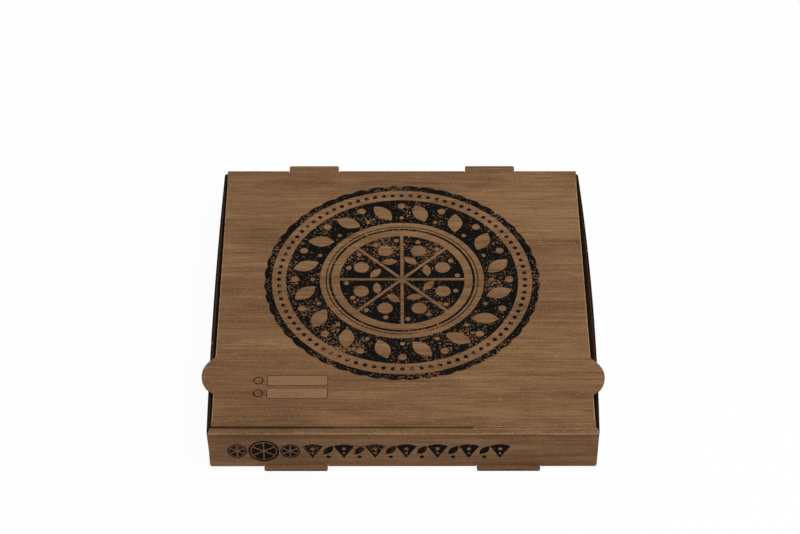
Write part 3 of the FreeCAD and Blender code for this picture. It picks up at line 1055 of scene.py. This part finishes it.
def print_layer(name, shapes, material, turn, place, body):
    """Joins flat shapes to one thin layer of print, turned and placed on the box."""
    clear_selection()
    for shape in shapes:
        shape.select_set(True)
    bpy.context.view_layer.objects.active = shapes[0]
    bpy.ops.object.join()
    layer = shapes[0]
    layer.name = name
    layer.data.name = name
    bpy.ops.object.transform_apply(location=True, rotation=True, scale=True)
    bpy.ops.object.mode_set(mode="EDIT")
    bpy.ops.mesh.select_all(action="SELECT")
    bpy.ops.mesh.normals_make_consistent(inside=False)
    mesh = bmesh.from_edit_mesh(layer.data)
    for face in mesh.faces:
        if face.normal.z < 0:
            face.normal_flip()
    bmesh.update_edit_mesh(layer.data)
    bpy.ops.object.mode_set(mode="OBJECT")
    layer.data.transform(Matrix.Translation(place) @ Matrix.Rotation(turn, 4, "X"))
    dress(layer, [material])
    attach(layer, body)


class MESH_OT_pizza_box_print(bpy.types.Operator):
    """Prints the round emblem, the writing fields and the row of motifs on the front"""

    bl_idname = "mesh.pizza_box_print"
    bl_label = "Pizza Box Print"

    def execute(self, context):
        sizes = context.scene.pizza_box_sizes
        colours = context.scene.pizza_box_colours
        stamp = flexo_ink("stamp_ink", colours, colours.ink, 0.11, 1.0)
        plain = flexo_ink("line_ink", colours, colours.ink, 0.04, 1.0)
        field = flexo_ink("field_ink", colours, colours.label, 0.04, 0.75)
        bare = kraft_liner("kraft_in_print", colours, 0)
        top = sizes.height
        self.emblem(stamp, bare, top)
        self.fields(plain, field, top)
        self.front(plain, bare)
        return {"FINISHED"}

    def emblem(self, stamp, bare, top):
        """Round emblem: scalloped ring, dots, leaf wreath and a pie in eight slices."""
        x, y = STAMP_CENTRE
        ink = [flat_ring(0.1235, 0.0070, 384, 48, 0.0016), flat_ring(0.1040, 0.0305),
               flat_ring(0.0685, 0.0010), flat_ring(0.0655, 0.0022)]
        ink += place_copies(flat_disc(0.0021, 16), self.circle(84, 0.1102, 0.0))
        ink += place_copies(flat_slice(0.0560, 8, 0.0014), self.circle(8, 0.0, 0.5))
        print_layer("emblem_ink", ink, stamp, 0, (x, y, top - INK_LIFT), "lid")
        light = place_copies(flat_disc(0.0120, 32, 0.56, True), self.circle(16, 0.0880, 0.5, 0.55))
        light += place_copies(flat_disc(0.0036, 24), self.circle(16, 0.0960, 0.0))
        light += place_copies(flat_disc(0.0020, 16), self.circle(16, 0.0800, 0.0))
        light += place_copies(flat_disc(0.0068, 24), self.circle(8, 0.0395, 0.5))
        light += place_copies(flat_disc(0.0075, 24, 0.5, True), self.circle(8, 0.0250, 0.6, 1.2))
        light += place_copies(flat_disc(0.0024, 16), self.circle(16, 0.0500, 0.25))
        print_layer("emblem_gaps", light, bare, 0, (x, y, top), "lid")

    def circle(self, count, radius, start, turn=0.0):
        """Places evenly round a circle, the first one a share of a step past the X axis."""
        angles = [2 * math.pi * (step + start) / count for step in range(count)]
        return [(radius * math.cos(a), radius * math.sin(a), a + turn) for a in angles]

    def fields(self, plain, field, top):
        """Two writing fields with thin outlines near the front edge of the lid."""
        places = [(FIELD_MIDDLE, row, 0) for row in FIELD_ROWS]
        fills = place_copies(flat_bar(0.0518, 0.0116, 0.0012), places)
        print_layer("field_fill", fills, field, 0, (0, 0, top - INK_LIFT), "lid")
        lines = place_copies(flat_frame(0.0524, 0.0122, 0.0005, 0.0014), places)
        lines += place_copies(flat_ring(0.0044, 0.0009, 40),
                              [(FIELD_DOT, row, 0) for row in FIELD_ROWS])
        print_layer("field_lines", lines, plain, 0, (0, 0, top), "lid")

    def front(self, plain, bare):
        """Row of slices, leaves and dots on the front wall."""
        upright = math.pi / 2
        places = [-0.077 + 0.0265 * step for step in range(7)]
        between = [place + 0.01325 for place in places[:-1]]
        ink = place_copies(flat_slice(0.0175, 6, 0.0), [(x, 0.0110, upright) for x in places])
        ink += place_copies(flat_disc(0.0066, 24, 0.5, True), [(x, 0.0210, 0.9) for x in between])
        ink += place_copies(flat_disc(0.0019, 16), [(x, 0.0125, 0) for x in between])
        for x, size in ((-0.1410, 0.0068), (-0.1185, 0.0105), (-0.0960, 0.0068)):
            ink += place_copies(flat_ring(size * 1.25, size * 0.17), [(x, 0.0200, 0)])
            ink += place_copies(flat_slice(size, 6, 0.0006), [
                (x, 0.0200, 2 * math.pi * step / 6) for step in range(6)])
        print_layer("front_ink", ink, plain, upright, (0, -OUTER - INK_LIFT, 0), "tray")
        light = place_copies(flat_disc(0.0018, 16), [(x, 0.0228, 0) for x in places])
        light += place_copies(flat_disc(0.0011, 16), [(x, 0.0172, 0) for x in places])
        print_layer("front_gaps", light, bare, upright, (0, -OUTER - 2 * INK_LIFT, 0), "tray")


class SCENE_OT_pizza_box_studio(bpy.types.Operator):
    """Sets up the pale floor, the soft light and the camera"""

    bl_idname = "scene.pizza_box_studio"
    bl_label = "Pizza Box Studio"

    def execute(self, context):
        levels = context.scene.pizza_box_studio
        clear_selection()
        bpy.ops.mesh.primitive_plane_add(size=8, location=(0, 0, -0.0002))
        floor = context.object
        floor.name = "studio_floor"
        bpy.ops.object.transform_apply(location=True)
        dress(floor, [self.floor_paint(levels)])
        self.sky(context, levels)
        self.lamp("key_lamp", (0.4, -0.9, 2.1), 1.6, levels.key)
        self.lamp("fill_lamp", (1.2, 0.8, 1.9), 1.4, levels.key * 0.45)
        self.camera(context)
        context.scene.view_settings.view_transform = "Standard"
        return {"FINISHED"}

    def floor_paint(self, levels):
        """White painted floor, which shows to the camera as white with a light shadow."""
        material, tree = new_material("studio_white")
        matt = add_node(tree, "BsdfDiffuse", {"Color": solid(levels.floor)})
        glow = add_node(tree, "Emission", {"Color": (1, 1, 1, 1), "Strength": 1.0})
        path = add_node(tree, "LightPath")
        seen = add_node(tree, "Math", {0: path.outputs["Is Camera Ray"], 1: FLOOR_GLOW},
                        operation="MULTIPLY")
        mixed = add_node(tree, "MixShader", {0: seen, 1: matt, 2: glow})
        add_node(tree, "OutputMaterial", {"Surface": mixed})
        return material

    def sky(self, context, levels):
        """Even white light from all sides, pure white to the camera."""
        world = bpy.data.worlds.new("studio_sky")
        context.scene.world = world
        world.use_nodes = True
        tree = world.node_tree
        tree.nodes.clear()
        path = add_node(tree, "LightPath")
        light = add_node(tree, "Background", {"Color": (1, 1, 1, 1), "Strength": levels.sky})
        white = add_node(tree, "Background", {"Color": (1, 1, 1, 1), "Strength": 1.0})
        mixed = add_node(tree, "MixShader", {0: path.outputs["Is Camera Ray"], 1: light, 2: white})
        add_node(tree, "OutputWorld", {"Surface": mixed})

    def lamp(self, name, place, size, power):
        """Soft square lamp that looks at the box."""
        clear_selection()
        bpy.ops.object.light_add(type="AREA", location=place)
        lamp = bpy.context.object
        lamp.name = name
        lamp.data.size = size
        lamp.data.energy = power
        lamp.rotation_euler = (-Vector(place)).to_track_quat("-Z", "Y").to_euler()

    def camera(self, context):
        """Camera at the angle of the photograph."""
        yaw = math.radians(CAMERA_YAW)
        drop = math.radians(CAMERA_DROP)
        roll = math.radians(CAMERA_ROLL)
        right = Vector((math.cos(yaw), -math.sin(yaw), 0))
        ahead = Vector((math.sin(yaw) * math.cos(drop), math.cos(yaw) * math.cos(drop), -math.sin(drop)))
        up = right.cross(ahead)
        across = right * math.cos(roll) + up * math.sin(roll)
        upward = up * math.cos(roll) - right * math.sin(roll)
        turn = Matrix((across, upward, -ahead)).transposed()
        clear_selection()
        bpy.ops.object.camera_add(location=CAMERA_PLACE, rotation=turn.to_euler())
        camera = context.object
        camera.name = "photo_camera"
        camera.data.lens = CAMERA_LENS
        camera.data.sensor_width = SENSOR
        context.scene.camera = camera


class VIEW3D_PT_pizza_box(bpy.types.Panel):
    """Steps and settings of the pizza box"""

    bl_idname = "VIEW3D_PT_pizza_box"
    bl_label = "Pizza Box"
    bl_space_type = "VIEW_3D"
    bl_region_type = "UI"
    bl_category = "Pizza Box"

    def draw(self, context):
        column = self.layout.column(align=True)
        for step in STEPS:
            column.operator(step.bl_idname)
        for group in (context.scene.pizza_box_sizes, context.scene.pizza_box_colours,
                      context.scene.pizza_box_studio):
            column = self.layout.column()
            for key in group.bl_rna.properties.keys():
                if key not in ("rna_type", "name"):
                    column.prop(group, key)


STEPS = (
    MESH_OT_pizza_box_tray,
    MESH_OT_pizza_box_lid,
    MESH_OT_pizza_box_hinge,
    MESH_OT_pizza_box_print,
    SCENE_OT_pizza_box_studio,
)
CLASSES = (BoxSizes, BoardColours, StudioLevels) + STEPS + (VIEW3D_PT_pizza_box,)


def register():
    """Registers the classes and hangs the settings on the scene."""
    for item in CLASSES:
        bpy.utils.register_class(item)
    bpy.types.Scene.pizza_box_sizes = PointerProperty(type=BoxSizes)
    bpy.types.Scene.pizza_box_colours = PointerProperty(type=BoardColours)
    bpy.types.Scene.pizza_box_studio = PointerProperty(type=StudioLevels)


def unregister():
    """Takes the settings and classes away again."""
    del bpy.types.Scene.pizza_box_studio
    del bpy.types.Scene.pizza_box_colours
    del bpy.types.Scene.pizza_box_sizes
    for item in reversed(CLASSES):
        bpy.utils.unregister_class(item)


def main():
    """Makes the whole box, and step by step."""
    register()
    bpy.ops.mesh.pizza_box_tray()
    bpy.ops.mesh.pizza_box_lid()
    bpy.ops.mesh.pizza_box_hinge()
    bpy.ops.mesh.pizza_box_print()
    bpy.ops.scene.pizza_box_studio()


if __name__ == "__main__":
    main()
